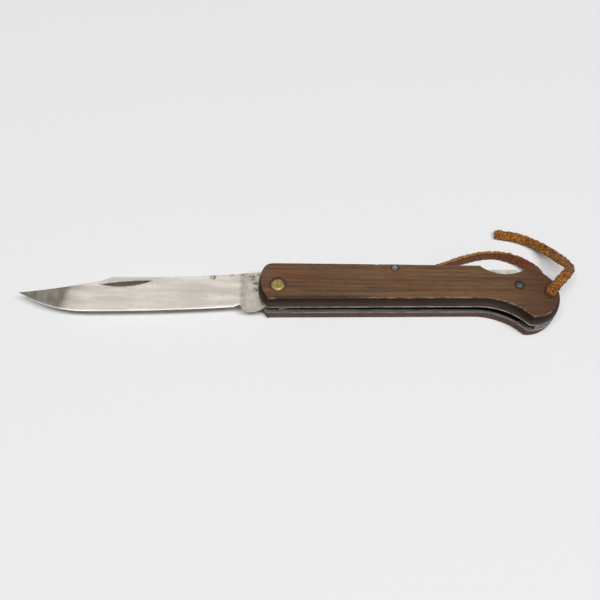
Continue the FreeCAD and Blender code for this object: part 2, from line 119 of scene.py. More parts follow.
BACK_TAIL = [
    ((0.1269, 0.0037, 0.0085), (1.0, 0.0, 0.0)),
    ((0.1269, 0.0095, 0.0085), (1.0, 0.0, 0.0)),
    ((0.1272, 0.0150, 0.0074), (1.0, 0.1, -0.1)),
    ((0.1247, 0.0201, 0.0050), (0.9, 0.5, 0.4)),
    ((0.1207, 0.0243, 0.0034), (0.4, 0.5, 0.8)),
    ((0.1155, 0.0271, 0.0027), (0.15, 0.3, 0.95)),
    ((0.1095, 0.0284, 0.0025), (0.0, 0.2, 1.0)),
    ((0.1035, 0.0281, 0.0025), (0.0, 0.2, 1.0)),
    ((0.0973, 0.0266, 0.0025), (0.0, 0.2, 1.0)),
    ((0.0910, 0.0245, 0.0025), (0.0, 0.2, 1.0)),
    ((0.0845, 0.0220, 0.0025), (0.0, 0.2, 1.0)),
    ((0.0778, 0.0191, 0.0025), (0.0, 0.2, 1.0)),
    ((0.0712, 0.0160, 0.0025), (0.0, 0.2, 1.0)),
]
LACE_WIDTH = 4.5 * MM
LACE_THICK = 2.0 * MM
LACE_STEP = 0.3 * MM
LACE_AROUND = 30
SQUARENESS = 0.38
NAP_FIBRES = 16
FIBRE_THICK = 0.035 * MM
LONGEST_FIBRE = 1.44 * MM
FLOOR_GAP = 0.05 * MM


def spline_points(points):
    """Points along the smooth spline that has these control points."""
    curve = bpy.data.curves.new("route", "CURVE")
    curve.dimensions = "3D"
    spline = curve.splines.new("NURBS")
    spline.points.add(len(points) - 1)
    for target, point in zip(spline.points, points):
        target.co = (*point, 1.0)
    spline.order_u = 3
    spline.use_endpoint_u = True
    spline.resolution_u = 24
    holder = bpy.data.objects.new("route", curve)
    bpy.context.scene.collection.objects.link(holder)
    line = bpy.data.meshes.new_from_object(holder)
    sampled = [vertex.co.copy() for vertex in line.vertices]
    bpy.data.objects.remove(holder)
    return sampled


def evenly(points, partners, step):
    """The two lines resampled together at even steps along the first."""
    lengths = [0.0]
    for here, there in zip(points, points[1:]):
        lengths.append(lengths[-1] + (there - here).length)
    count = max(2, round(lengths[-1] / step))
    wanted = np.linspace(0.0, lengths[-1], count + 1)
    resampled = []
    for line in (points, partners):
        columns = [np.interp(wanted, lengths, [p[axis] for p in line]) for axis in range(3)]
        resampled.append([Vector(row) for row in zip(*columns)])
    return resampled[0], resampled[1], lengths[-1]


def join_rings(mesh, lower, upper):
    """A strip of four-sided faces between two rings that have the same number of points."""
    for number in range(len(lower)):
        after = (number + 1) % len(lower)
        mesh.faces.new((lower[number], lower[after], upper[after], upper[number]))


def lace_section(angle):
    """Half-width and half-thickness shares of the lace's rounded, flat section."""
    across, through = math.cos(angle), math.sin(angle)
    return (
        math.copysign(abs(across) ** SQUARENESS, across) * 0.5,
        math.copysign(abs(through) ** SQUARENESS, through) * 0.5,
    )


def ragged(point, size, seed):
    """Signed noise of the given grain size."""
    return noise.noise(point / size + Vector((seed, 0.37 * seed, 1.9 * seed)))


def add_fibre(mesh, root, direction, along, size):
    """One loose fibre: a thin closed spike that stands out of the surface."""
    along = along * FIBRE_THICK
    side = direction.cross(along).normalized() * FIBRE_THICK
    base = root - direction * 0.1 * MM
    feet = [
        mesh.verts.new(base + along),
        mesh.verts.new(base - along * 0.5 + side),
        mesh.verts.new(base - along * 0.5 - side),
    ]
    top = mesh.verts.new(root + direction * size)
    mesh.faces.new(feet)
    for first, last in zip(feet, feet[1:] + feet[:1]):
        mesh.faces.new((first, last, top))
    return [*feet, top]


def fraying(point):
    """How frayed the lace is: most where it rubs on the mouth of the lanyard hole."""
    mouth = about_pivot(*LANYARD_HOLE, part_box("front_scale")[1].z)
    above = smoothstep(-0.3 * MM, 0.8 * MM, point.z - mouth.z)
    return float(above * smoothstep(5.5 * MM, 2.0 * MM, (point - mouth).length))


def add_nap(mesh, grain, rings, frays, seed):
    """Loose fibres all over the suede side and the cut edges, none on the skin side."""
    draw = random.Random(seed)
    for ring, following, fray in zip(rings, rings[1:], frays):
        for _ in range(NAP_FIBRES):
            step = draw.randrange(LACE_AROUND)
            facing = ring[step][grain]
            length = draw.uniform(0.15, 0.6) * MM
            if draw.random() < 0.04:
                length *= 2.4
            length = min(length * (1 + 1.3 * fray), LONGEST_FIBRE - 0.44 * MM * fray)
            lean = Vector([draw.uniform(-0.8, 0.8) for _ in range(3)])
            if facing > 0.6:
                continue
            middle = sum((vertex.co for vertex in ring), Vector()) / LACE_AROUND
            along = (following[step].co - ring[step].co).normalized()
            direction = ((ring[step].co - middle).normalized() + lean).normalized()
            if ring[step].co.z + min(direction.z, 0.0) * length < FLOOR_GAP:
                continue
            for vertex in add_fibre(mesh, ring[step].co, direction, along, length):
                vertex[grain] = facing


def make_lace(name, route, skin_side, seed):
    """A flat leather lace with a torn, fuzzy surface and square-cut ends."""
    middle = [about_pivot(*point) for point, _ in route]
    beside = [
        start + Vector(side).normalized() * 2 * MM
        for start, (_, side) in zip(middle, route)
    ]
    path, partner, length = evenly(spline_points(middle), spline_points(beside), LACE_STEP)
    mesh = bmesh.new()
    grain = mesh.verts.layers.float.new("grain")
    rings, frays = [], []
    for number, point in enumerate(path):
        ahead = path[min(number + 1, len(path) - 1)] - path[max(number - 1, 0)]
        along = ahead.normalized()
        side = partner[number] - point
        side = (side - along * side.dot(along)).normalized()
        up = side.cross(along)
        frays.append(fraying(point))
        swell = 1.0 + 0.09 * ragged(point, 6 * MM, seed) + 0.12 * frays[-1]
        ring = []
        for step in range(LACE_AROUND):
            angle = 2 * math.pi * step / LACE_AROUND
            across, through = lace_section(angle)
            surface = point + side * (across * LACE_WIDTH * swell) + up * (through * LACE_THICK)
            outward = (side * across * LACE_THICK + up * through * LACE_WIDTH).normalized()
            rough = 0.50 * MM * ragged(surface, 1.3 * MM, seed + 3)
            rough += 0.30 * MM * ragged(surface, 0.55 * MM, seed + 7)
            rough += (2 * across) ** 4 * 0.35 * MM * ragged(surface, 0.9 * MM, seed + 9)
            smooth = max(0.0, through * 2 * skin_side)
            surface = surface + outward * rough * (1 - 0.8 * smooth)
            surface.z = max(surface.z, FLOOR_GAP)
            vertex = mesh.verts.new(surface)
            vertex[grain] = through * 2 * skin_side
            ring.append(vertex)
        rings.append(ring)
    for ring, following in zip(rings, rings[1:]):
        join_rings(mesh, ring, following)
    for ring, end in ((rings[0], path[0]), (rings[-1], path[-1])):
        inner = [mesh.verts.new(end.lerp(v.co, 0.55)) for v in ring]
        hub = mesh.verts.new(end)
        join_rings(mesh, ring, inner)
        for first, last in zip(inner, inner[1:] + inner[:1]):
            mesh.faces.new((first, last, hub))
    add_nap(mesh, grain, rings, frays, seed)
    return finish_mesh(name, mesh, math.radians(80)), path, length


# ---------------------------------------------------------------- reading outlines off the frame
def rim_loops(node):
    """Closed loops, seen from above, where a node's upward faces meet its upright walls."""
    mesh = bmesh.new()
    mesh.from_mesh(frame["nodes"][node].data)
    bmesh.ops.remove_doubles(mesh, verts=mesh.verts, dist=1e-6)
    mesh.normal_update()
    rims = {}
    for edge in mesh.edges:
        if len(edge.link_faces) != 2:
            continue
        upward, wall = sorted((face.normal.z for face in edge.link_faces), reverse=True)
        if upward > 0.7 and abs(wall) < 0.2:
            first, last = edge.verts
            rims.setdefault(first, []).append(last)
            rims.setdefault(last, []).append(first)
    loops, seen = [], set()
    for start in sorted(rims, key=lambda v: v.index):
        if start in seen:
            continue
        loop, here, before = [], start, None
        while here not in seen:
            seen.add(here)
            loop.append((here.co.x, here.co.y))
            onward = [v for v in rims[here] if v is not before]
            before, here = here, onward[0]
        loops.append(np.array(loop))
    mesh.free()
    return sorted(loops, key=lambda loop: -np.ptp(loop[:, 0]))


def loop_area(loop):
    x, y = loop[:, 0], loop[:, 1]
    return 0.5 * float(np.sum(x * np.roll(y, -1) - np.roll(x, -1) * y))


def divide_loop(loop, step):
    """The loop, anticlockwise, with every side divided to at most the step."""
    if loop_area(loop) < 0:
        loop = loop[::-1]
    points = []
    for start, end in zip(loop, np.roll(loop, -1, axis=0)):
        pieces = max(1, math.ceil(np.linalg.norm(end - start) / step))
        points += [start + (end - start) * share / pieces for share in range(pieces)]
    return np.array(points)


def turning(loop):
    """The signed angle by which a closed loop turns at each of its points."""
    come = loop - np.roll(loop, 1, axis=0)
    leave = np.roll(loop, -1, axis=0) - loop
    return np.arctan2(
        come[:, 0] * leave[:, 1] - come[:, 1] * leave[:, 0], np.sum(come * leave, axis=1)
    )


def smooth_loop(loop, rounds, corner):
    """Rounds off the facets of curved stretches and leaves real corners where they are."""
    free = (np.abs(turning(loop)) < corner)[:, None]
    for _ in range(rounds):
        middle = (np.roll(loop, 1, axis=0) + np.roll(loop, -1, axis=0)) / 2
        loop = np.where(free, loop + 0.5 * (middle - loop), loop)
    return loop


def inward_normals(loop):
    """Unit normals that point into an anticlockwise loop."""
    along = np.roll(loop, -1, axis=0) - np.roll(loop, 1, axis=0)
    along /= np.maximum(np.linalg.norm(along, axis=1), 1e-12)[:, None]
    return np.stack([-along[:, 1], along[:, 0]], axis=1)


def distances(points, line, closed=True):
    """Each point's distance to a line of points."""
    starts = line if closed else line[:-1]
    ends = np.roll(line, -1, axis=0) if closed else line[1:]
    nearest = np.full(len(points), np.inf)
    for start, end in zip(starts, ends):
        side = end - start
        size = max(float(side @ side), 1e-18)
        share = np.clip(((points - start) @ side) / size, 0, 1)
        gap = np.linalg.norm(points - start - share[:, None] * side, axis=1)
        nearest = np.minimum(nearest, gap)
    return nearest


def inside(points, loop):
    """Which points lie within a closed loop."""
    result = np.zeros(len(points), bool)
    for (x0, y0), (x1, y1) in zip(loop, np.roll(loop, -1, axis=0)):
        crosses = (y0 > points[:, 1]) != (y1 > points[:, 1])
        if y0 != y1:
            at = x0 + (points[:, 1] - y0) * (x1 - x0) / (y1 - y0)
            result ^= crosses & (points[:, 0] < at)
    return result


def fill_points(loop, step, keep_off):
    """A staggered grid of points within the loop, no nearer to it than keep_off."""
    low, high = loop.min(axis=0), loop.max(axis=0)
    rows = np.arange(low[1], high[1], step * 0.866)
    points = []
    for number, y in enumerate(rows):
        shift = 0.5 * step * (number % 2)
        points += [(x, y) for x in np.arange(low[0] + shift, high[0], step)]
    points = np.array(points)
    points = points[inside(points, loop)]
    return points[distances(points, loop) > keep_off]


# ---------------------------------------------------------------- building closed solids
class Shell:
    """Loops of points joined by strips and closed by flat caps into one solid."""

    def __init__(self, layers=()):
        self.mesh = bmesh.new()
        self.layers = {name: self.mesh.verts.layers.float.new(name) for name in layers}

    def loop(self, flat, heights, **layers):
        heights = np.broadcast_to(heights, len(flat))
        verts = [self.mesh.verts.new((*p, z)) for p, z in zip(flat, heights)]
        for name, values in layers.items():
            for vertex, value in zip(verts, np.broadcast_to(values, len(flat))):
                vertex[self.layers[name]] = value
        return verts

    def strip(self, lower, upper):
        join_rings(self.mesh, lower, upper)

    def cap(self, border, holes, fill, height, **layers):
        """Triangles between the border and the holes, through the fill points."""
        known, edges = [], []
        for ring in [border, *holes]:
            first = len(known)
            known += ring
            edges += [(first + n, first + (n + 1) % len(ring)) for n in range(len(ring))]
        flat = [vertex.co.xy for vertex in known]
        extra = self.loop(fill, height, **layers) if len(fill) else []
        flat += [vertex.co.xy for vertex in extra]
        known += extra
        places, _, faces, origins, _, _ = delaunay_2d_cdt(flat, edges, [], 1, 1e-9)
        crossed = [tuple(p) for p, origin in zip(places, origins) if not origin]
        if crossed:
            raise ValueError("outlines cross at %s" % crossed[:6])
        rings = [np.array([vertex.co.xy for vertex in ring]) for ring in holes]
        centres = np.array([
            sum((flat[origins[n][0]] for n in face), Vector((0, 0))) / 3 for face in faces
        ])
        hollow = np.zeros(len(faces), bool)
        for ring in rings:
            hollow |= inside(centres, ring)
        for face, empty in zip(faces, hollow):
            corners = [known[origins[n][0]] for n in face]
            if not empty and len(set(corners)) == 3:
                self.mesh.faces.new(corners)


def finish_mesh(name, mesh, sharp):
    """Turns a bmesh into an object, smooth except across edges sharper than the angle."""
    bmesh.ops.recalc_face_normals(mesh, faces=mesh.faces)
    data = bpy.data.meshes.new(name)
    mesh.to_mesh(data)
    mesh.free()
    data.shade_smooth()
    data.set_sharp_from_angle(angle=sharp)
    piece = bpy.data.objects.new(name, data)
    bpy.context.scene.collection.objects.link(piece)
    return piece


# ---------------------------------------------------------------- wooden scales
SIDE_PROFILE = [
    # share of the lean, share of the height, wear, darkness of the painted shade
    (0.0, 0.0, 0.0, 0.45),
    (0.0, 0.12, 0.0, 0.50),
    (0.06, 0.30, 0.0, 0.62),
    (0.18, 0.50, 0.0, 0.78),
    (0.36, 0.70, 0.0, 0.92),
    (0.60, 0.88, 0.0, 1.0),
    (0.76, 0.955, 0.3, 0.9),
    (0.89, 0.988, 1.0, 0.55),
    (1.0, 1.0, 0.8, 0.2),
    (1.25, 1.0, 0.0, 0.0),
]
OUTLINE_STEP = 0.5 * MM
FACE_STEP = 0.8 * MM
FACE_WEAR = 0.05 * MM
HOLE_SOFT = 0.15 * MM
HOLE_SIDES = 40
HEAD_SEAT = 1.4 * MM


def noise_along(loop, size, seed):
    return np.array([noise.noise(Vector((x / size, y / size, seed))) for x, y in loop])


def scale_lean(loop, normals, holes, seed):
    """How far the worn arris stands in from the outline: most on the slot side and the butt."""
    lean = 1.05 + 0.37 * normals[:, 1] + 0.35 * smoothstep(0.2, 0.8, -normals[:, 0])
    lean = lean + 0.08 * noise_along(loop, 9 * MM, seed) + 0.03 * noise_along(loop, 2.2 * MM, seed)
    chips = np.maximum(noise_along(loop, 2.4 * MM, seed + 5) - 0.46, 0) * 0.7
    return np.minimum((lean + chips) * MM, corner_room(loop, holes))


def rubbed(loop, normals):
    """Where the arris is rubbed pale: along the slot side, more towards the butt."""
    along = (loop[:, 0] - PIVOT.x) / MM
    corner = smoothstep(3.0, 1.0, np.abs(along + 3.5))
    return smoothstep(0.5, 0.9, normals[:, 1]) * np.maximum(smoothstep(18, 50, along), corner)


def arris_darkening(loop, normals):
    """Where the arris is darker: along the slot side, near the pivot."""
    along = (loop[:, 0] - PIVOT.x) / MM
    return smoothstep(0.5, 0.9, normals[:, 1]) * smoothstep(56, 34, along)


def corner_room(loop, holes):
    """How far in each point may go before it would cross its neighbours or reach a hole."""
    turn = turning(loop)
    turn = (np.roll(turn, 1) + turn + np.roll(turn, -1)) / 3
    step = np.linalg.norm(np.roll(loop, -1, axis=0) - loop, axis=1)
    room = 0.55 * step / np.maximum(turn, 1e-4)
    for x, y, mouth, _ in holes:
        gap = np.linalg.norm(loop - np.array((x, y)), axis=1) - mouth - HOLE_SOFT
        room = np.minimum(room, 0.72 * gap)
    for _ in range(8):
        ahead = np.roll(room, -1) + 0.25 * step
        behind = np.roll(room, 1) + 0.25 * step
        room = np.minimum(room, np.minimum(ahead, behind))
    return room


def make_wood_scale(name, node, seed):
    """A scale from its CAD outline and holes, with leaning sides and a worn arris."""
    low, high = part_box(node)
    outer_up = high.z > PIVOT.z
    inner_z, outer_z = (low.z, high.z) if outer_up else (high.z, low.z)
    rise = outer_z - inner_z
    face_z = outer_z - math.copysign(FACE_WEAR, rise)
    outline = smooth_loop(divide_loop(rim_loops("front_liner")[0], OUTLINE_STEP), 12, 0.2)
    normals = inward_normals(outline)
    holes = scale_holes(node)
    lean = scale_lean(outline, normals, holes, seed)
    shell = Shell(("wear", "side"))
    rings = []
    handled = rubbed(outline, normals)
    dark_arris = 0.6 * arris_darkening(outline, normals)
    # Painted shade on the sides: the darkness column, made deeper where the outline faces the ends
    ends = 1.0 + 0.35 * smoothstep(0.3, 0.8, np.abs(normals[:, 0]))
    for inset, height, wear, dark in SIDE_PROFILE:
        flat = outline + normals * (lean * inset)[:, None]
        z = inner_z + (face_z - inner_z) * height
        shade = np.maximum(dark * ends, dark_arris)
        rings.append(shell.loop(flat, z, wear=wear * handled, side=shade))
    for lower, upper in zip(rings, rings[1:]):
        shell.strip(lower, upper)
    outer_holes, inner_holes = [], []
    inward = math.copysign(1.0, rise)
    turns = np.linspace(0, 2 * math.pi, HOLE_SIDES, endpoint=False)
    circle = np.stack([np.cos(turns), np.sin(turns)], axis=1)
    for x, y, mouth, bore in holes:
        centre = np.array((x, y))
        steps = [
            (mouth + HOLE_SOFT, face_z),
            (mouth + HOLE_SOFT * 0.3, face_z - inward * HOLE_SOFT * 0.3),
            (mouth, face_z - inward * HOLE_SOFT),
        ]
        if mouth > bore + 0.3 * MM:
            seat_z = outer_z - inward * HEAD_SEAT
            steps += [(mouth, seat_z), (bore, seat_z)]
        steps.append((bore, inner_z))
        # Painted shade on the hole walls, through the side attribute
        wall = [shell.loop(centre + circle * r, z, side=0.5) for r, z in steps]
        for lower, upper in zip(wall, wall[1:]):
            shell.strip(lower, upper)
        outer_holes.append(wall[0])
        inner_holes.append(wall[-1])
    border = np.array([vertex.co.xy for vertex in rings[-1]])
    fill = fill_points(border, FACE_STEP, 0.45 * MM)
    for x, y, mouth, _ in holes:
        gap = np.linalg.norm(fill - np.array((x, y)), axis=1)
        fill = fill[gap > mouth + 0.5 * MM]
    dents = np.array([surface_dents(x, y, seed) for x, y in fill])
    shell.cap(rings[-1], outer_holes, fill, face_z - inward * dents)
    shell.cap(rings[0], inner_holes, np.empty((0, 2)), inner_z)
    return finish_mesh(name, shell.mesh, math.radians(40))


def scale_holes(node):
    """Each hole through a scale as (x, y, radius at its mouth, radius of its bore)."""
    found = []
    for loop in rim_loops(node)[1:]:
        centre = (loop.min(axis=0) + loop.max(axis=0)) / 2
        radius = float(np.ptp(loop[:, 0])) / 2
        for other in found:
            if np.linalg.norm(centre - np.array(other[:2])) < 0.5 * MM:
                other[2], other[3] = max(other[2], radius), min(other[3], radius)
                break
        else:
            found.append([centre[0], centre[1], radius, radius])
    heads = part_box("pivot_pin")
    for hole in found:
        if math.hypot(hole[0] - PIVOT.x, hole[1] - PIVOT.y) < 0.5 * MM:
            hole[2] = (heads[1].x - heads[0].x) / 2 + 0.02 * MM
    return found


def surface_dents(x, y, seed):
    """Depth below the flat face of shallow wear and a few knocks."""
    place = Vector((x, y, seed * MM))
    wave = 0.03 * MM * (1 + noise.noise(place / (9 * MM)))
    furrow = 0.02 * MM * (1 + noise.noise(Vector((x / (14 * MM), y / (0.9 * MM), seed))))
    knock = 0.16 * MM * max(0.0, noise.noise(place / (2.2 * MM)) - 0.55)
    return wave + furrow + knock


# ---------------------------------------------------------------- blade
EDGE_HALF = 0.03 * MM
BEVEL_HALF = 0.17 * MM
BEVEL_WIDE = 0.62 * MM
EASED = 0.10 * MM
GRIND_SLOPE = 0.0535
GRIND_STEP = 0.75 * MM
PLUNGE = (-17.6 * MM, -14.4 * MM)  # along X about the pivot: the grind rises to the full stock
CHOIL = (-17.6 * MM, -5.9 * MM)  # about the pivot
NICK_DEPTH = 0.62 * MM


def blade_half(points, edge, half):
    """Half the blade's thickness at each point: flat grind, then the full stock at the tang."""
    ground = BEVEL_HALF + GRIND_SLOPE * np.maximum(distances(points, edge, False), 0)
    full = smoothstep(PIVOT.x + PLUNGE[0], PIVOT.x + PLUNGE[1], points[:, 0])
    return np.minimum(ground, half) * (1 - full) + half * full


def open_loop(loop, x):
    """The loop, anticlockwise, starting where it leaves its upright side at x."""
    if loop_area(loop) < 0:
        loop = loop[::-1]
    on_side = np.abs(loop[:, 0] - x) < 0.01 * MM
    start = int(np.flatnonzero(on_side & np.roll(on_side, 1))[0])
    return np.roll(loop, -start, axis=0)


def blade_outline(ground, tang):
    """The whole outline, anticlockwise from the tip, with its inward normals."""
    plunge_x = ground[:, 0].max()
    whole = np.concatenate([open_loop(ground, plunge_x), open_loop(tang, plunge_x)[1:-1]])
    outline = smooth_loop(divide_loop(whole, 0.45 * MM), 14, 0.12)
    normals = inward_normals(outline)
    tip = int(np.argmin(outline[:, 0]))
    return np.roll(outline, -tip, axis=0), np.roll(normals, -tip, axis=0)


def make_blade():
    """The blade from its CAD outline: edge bevel, grind that follows the belly, nail nick."""
    low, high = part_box("blade")
    middle_z, half = (low.z + high.z) / 2, (high.z - low.z) / 2
    ground, tang, nick, *_, bore = rim_loops("blade")
    outline, normals = blade_outline(ground, tang)
    from_choil = np.linalg.norm(outline - np.array(about_pivot(*CHOIL, 0).xy), axis=1)
    choil = int(np.argmin(from_choil))
    edge = outline[:choil + 1]
    local = blade_half(outline, edge, half)
    on_edge = np.zeros(len(outline))
    on_edge[:choil + 1] = 1.0
    from_tip = np.linalg.norm(outline - outline[0], axis=1)
    wide = np.where(on_edge > 0, BEVEL_WIDE, EASED)
    wide = np.minimum(wide, 0.16 * from_tip + 0.01 * MM)
    wide = np.minimum(wide, corner_room(outline, []))
    nicks = 0.05 * MM * np.maximum(noise_along(outline, 1.4 * MM, 3.0) - 0.3, 0) * on_edge
    rim = outline + normals * nicks[:, None]
    rim_half = np.where(on_edge > 0, EDGE_HALF, np.maximum(local - EASED, EDGE_HALF))
    inner = outline + normals * wide[:, None]
    inner_half = blade_half(inner, edge, half)
    nick = smooth_loop(divide_loop(nick, 0.3 * MM), 3, 0.3)
    bore = divide_loop(bore, 0.3 * MM)
    fill = fill_points(inner, GRIND_STEP, 0.35 * MM)
    fill = fill[~inside(fill, bore) & (distances(fill, bore) > 0.3 * MM)]
    fill_half = blade_half(fill, edge, half)
    shell = Shell(("bevel", "nick"))
    for side in (1, -1):
        outer = shell.loop(rim, middle_z + side * rim_half, bevel=on_edge)
        face = shell.loop(inner, middle_z + side * inner_half, bevel=0.0)
        shell.strip(outer, face)
        hole = shell.loop(bore, middle_z + side * half)
        if side > 0:
            top_outer, top_hole = outer, hole
            plain = ~inside(fill, nick) & (distances(fill, nick) > 0.25 * MM)
            nick_rim = shell.loop(nick, middle_z + blade_half(nick, edge, half), nick=0.6)
            shell.cap(face, [hole, nick_rim], fill[plain], middle_z + fill_half[plain])
            make_nail_nick(shell, nick, nick_rim, middle_z, edge, half)
        else:
            shell.cap(face, [hole], fill, middle_z - fill_half)
            shell.strip(outer, top_outer)
            shell.strip(hole, top_hole)
    return finish_mesh("blade_mesh", shell.mesh, math.radians(24))


def make_nail_nick(shell, nick, nick_rim, middle_z, edge, half):
    """A crescent cut with a steep upper wall and a floor that runs out at its lower side."""
    left, right = int(np.argmin(nick[:, 0])), int(np.argmax(nick[:, 0]))
    chord = nick[right] - nick[left]
    across = np.array((-chord[1], chord[0])) / np.linalg.norm(chord)
    above = (nick - nick[left]) @ across > -0.01 * MM
    upper, lower = nick[above], nick[~above]
    inner = fill_points(nick, 0.3 * MM, 0.06 * MM)
    to_upper = distances(inner, upper[np.argsort(upper[:, 0])], False)
    to_lower = distances(inner, lower[np.argsort(lower[:, 0])], False)
    share = to_lower / np.maximum(to_upper + to_lower, 1e-9)
    wall = smoothstep(0.0, 0.12 * MM, to_upper)
    depth = NICK_DEPTH * share * wall * smoothstep(0, 1.2 * MM, to_upper + to_lower)
    top = middle_z + blade_half(inner, edge, half)
    shell.cap(nick_rim, [], inner, top - depth, nick=1.0)


# ---------------------------------------------------------------- leaf spring
def make_spring():
    """The leaf spring cut across into short lengths."""
    mesh = bmesh.new()
    mesh.from_mesh(frame["nodes"]["lock_spring"].data)
    bmesh.ops.remove_doubles(mesh, verts=mesh.verts, dist=1e-6)
    low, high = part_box("lock_spring")
    for share in np.linspace(0.05, 0.95, 19):
        cut = Vector((low.x + (high.x - low.x) * share, 0, 0))
        geometry = mesh.verts[:] + mesh.edges[:] + mesh.faces[:]
        bmesh.ops.bisect_plane(mesh, geom=geometry, plane_co=cut, plane_no=(1, 0, 0))
    piece = finish_mesh("leaf_spring", mesh, math.radians(30))
    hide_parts("lock_spring")
    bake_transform(piece)
    return piece


# ---------------------------------------------------------------- materials
class Paint:
    """A material and short calls for the nodes that its look is made of."""

    def __init__(self, name, units=1000.0):
        self.material = bpy.data.materials.new(name)
        self.material.use_nodes = True
        self.tree = self.material.node_tree
        self.shader = self.tree.nodes["Principled BSDF"]
        place = self.tree.nodes.new("ShaderNodeTexCoord")
        self.millimetres = self.vector("MULTIPLY", place.outputs["Object"], (units,) * 3)

    def node(self, kind, **inputs):
        made = self.tree.nodes.new(kind)
        for name, value in inputs.items():
            self.feed(made.inputs[name.replace("_", " ")], value)
        return made

    def feed(self, socket, value):
        if isinstance(value, bpy.types.NodeSocket):
            self.tree.links.new(value, socket)
        else:
            socket.default_value = value

    def vector(self, operation, first, second):
        made = self.node("ShaderNodeVectorMath")
        made.operation = operation
        self.feed(made.inputs[0], first)
        self.feed(made.inputs[1], second)
        return made.outputs["Vector"]

    def maths(self, operation, first, second=0.0, clamp=False):
        made = self.node("ShaderNodeMath")
        made.operation = operation
        made.use_clamp = clamp
        self.feed(made.inputs[0], first)
        self.feed(made.inputs[1], second)
        return made.outputs[0]

    def noise(self, stretch, detail=4.0, roughness=0.55, shift=(0.0, 0.0, 0.0), warp=0.0):
        """Noise with the given number of grains per millimetre along X, Y and Z."""
        place = self.vector("MULTIPLY", self.millimetres, stretch)
        place = self.vector("ADD", place, shift)
        made = self.node("ShaderNodeTexNoise", Vector=place, Scale=1.0, Detail=detail,
                         Roughness=roughness, Distortion=warp)
        return made.outputs["Fac"]

    def ramp(self, value, low, high, start=0.0, end=1.0):
        made = self.node("ShaderNodeMapRange", Value=value)
        made.interpolation_type = "SMOOTHSTEP"
        for name, number in (("From Min", low), ("From Max", high), ("To Min", start), ("To Max", end)):
            made.inputs[name].default_value = number
        return made.outputs["Result"]

    def mix(self, share, first, second):
        made = self.node("ShaderNodeMix")
        made.data_type = "RGBA"
        self.feed(made.inputs[0], share)
        for socket, value in ((made.inputs[6], first), (made.inputs[7], second)):
            self.feed(socket, value if isinstance(value, bpy.types.NodeSocket) else (*value, 1.0))
        return made.outputs[2]

    def attribute(self, name):
        made = self.node("ShaderNodeAttribute")
        made.attribute_name = name
        return made.outputs["Fac"]

    def millimetre(self, axis):
        return self.node("ShaderNodeSeparateXYZ", Vector=self.millimetres).outputs[axis]

    def near(self, point, inner, outer):
        """1 within the inner distance of a point's upright axis, 0 beyond the outer one, in mm."""
        gap = self.vector("SUBTRACT", self.millimetres, tuple(v / MM for v in point))
        flat = self.vector("MULTIPLY", gap, (1.0, 1.0, 0.0))
        made = self.node("ShaderNodeVectorMath")
        made.operation = "LENGTH"
        self.feed(made.inputs[0], flat)
        return self.ramp(made.outputs["Value"], inner, outer, 1.0, 0.0)

    def bump(self, height, distance, strength=1.0):
        """Relief of the given height, in millimetres."""
        made = self.node("ShaderNodeBump", Height=height, Strength=strength,
                         Distance=distance * MM)
        if self.shader.inputs["Normal"].is_linked:
            before = self.shader.inputs["Normal"].links[0].from_socket
            self.tree.links.new(before, made.inputs["Normal"])
        self.tree.links.new(made.outputs["Normal"], self.shader.inputs["Normal"])

    def set(self, **inputs):
        for name, value in inputs.items():
            if isinstance(value, tuple) and len(value) == 3:
                value = (*value, 1.0)
            self.feed(self.shader.inputs[name.replace("_", " ")], value)


def srgb(red, green, blue):
    """A display colour of 0 to 255 as the linear values that a shader takes."""
    return tuple(
        (v / 255 / 12.92) if v <= 10 else ((v / 255 + 0.055) / 1.055) ** 2.4
        for v in (red, green, blue)
    )


